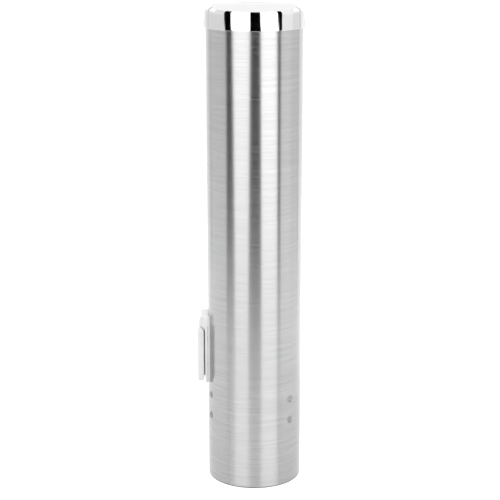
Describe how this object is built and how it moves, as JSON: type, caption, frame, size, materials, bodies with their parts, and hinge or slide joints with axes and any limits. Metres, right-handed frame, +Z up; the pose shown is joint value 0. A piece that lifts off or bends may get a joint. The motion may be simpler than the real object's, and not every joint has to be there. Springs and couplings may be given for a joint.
{
  "type": "cup dispenser",
  "caption": "Wall-mounted pull-type cup dispenser: steel tube with a lift-off cap, a hook-on wall bracket and sprung fingers inside its lower end that hold the lowest cup.",
  "frame": {"origin": "centre of the wall plate's back face, on the wall", "axes": "+X away from the wall, +Z up along the tube, +Y level along the wall, to the right of someone who faces it"},
  "size_m": [0.0903, 0.0832, 0.4168],
  "materials": {
    "tube_steel": "satin",
    "cap_chrome": "polished",
    "bracket_white": "satin",
    "rivet_steel": "satin",
    "leaf_steel": "satin",
    "finger_plastic": "satin",
    "pin_steel": "satin",
    "spring_steel": "satin",
    "rivet_dark": "satin"
  },
  "bodies": {
    "wall_bracket": {"wall_plate": "bracket_white"},
    "dispenser": {"tube": "tube_steel", "saddle": "bracket_white", "saddle_rivets": "rivet_steel", "hinge_leaf_1": "leaf_steel", "hinge_leaf_2": "leaf_steel", "hinge_leaf_3": "leaf_steel", "hinge_pin_1": "pin_steel", "hinge_pin_2": "pin_steel", "hinge_pin_3": "pin_steel", "finger_spring_1": "spring_steel", "finger_spring_2": "spring_steel", "finger_spring_3": "spring_steel", "finger_rivets_1": "rivet_dark", "finger_rivets_2": "rivet_dark", "finger_rivets_3": "rivet_dark"},
    "lid": {"cap": "cap_chrome"},
    "finger_1": {"finger_1": "finger_plastic"},
    "finger_2": {"finger_2": "finger_plastic"},
    "finger_3": {"finger_3": "finger_plastic"}
  },
  "joints": [
    {"name": "lift_off_wall", "type": "slide", "parent": "wall_bracket", "child": "dispenser", "axis": [0, 0, 1], "range_m": [0, 0.05]},
    {"name": "lift_cap", "type": "slide", "parent": "dispenser", "child": "lid", "axis": [0, 0, 1], "range_m": [0, 0.032]},
    {"name": "finger_1_hinge", "type": "hinge", "parent": "dispenser", "child": "finger_1", "pos_m": [0.01452, -0.01244, -0.064], "axis": [-0.342, 0.9397, 0], "range_deg": [0, 22], "stiffness_Nm_per_rad": 0.03, "springref_deg": -34.38, "deforming": ["finger_spring_1"]},
    {"name": "finger_2_hinge", "type": "hinge", "parent": "dispenser", "child": "finger_2", "pos_m": [0.07657, -0.02338, -0.064], "axis": [-0.6428, -0.766, 0], "range_deg": [0, 22], "stiffness_Nm_per_rad": 0.03, "springref_deg": -34.38, "deforming": ["finger_spring_2"]},
    {"name": "finger_3_hinge", "type": "hinge", "parent": "dispenser", "child": "finger_3", "pos_m": [0.05502, 0.03583, -0.064], "axis": [0.9848, -0.1736, 0], "range_deg": [0, 22], "stiffness_Nm_per_rad": 0.03, "springref_deg": -34.38, "deforming": ["finger_spring_3"]}
  ]
}
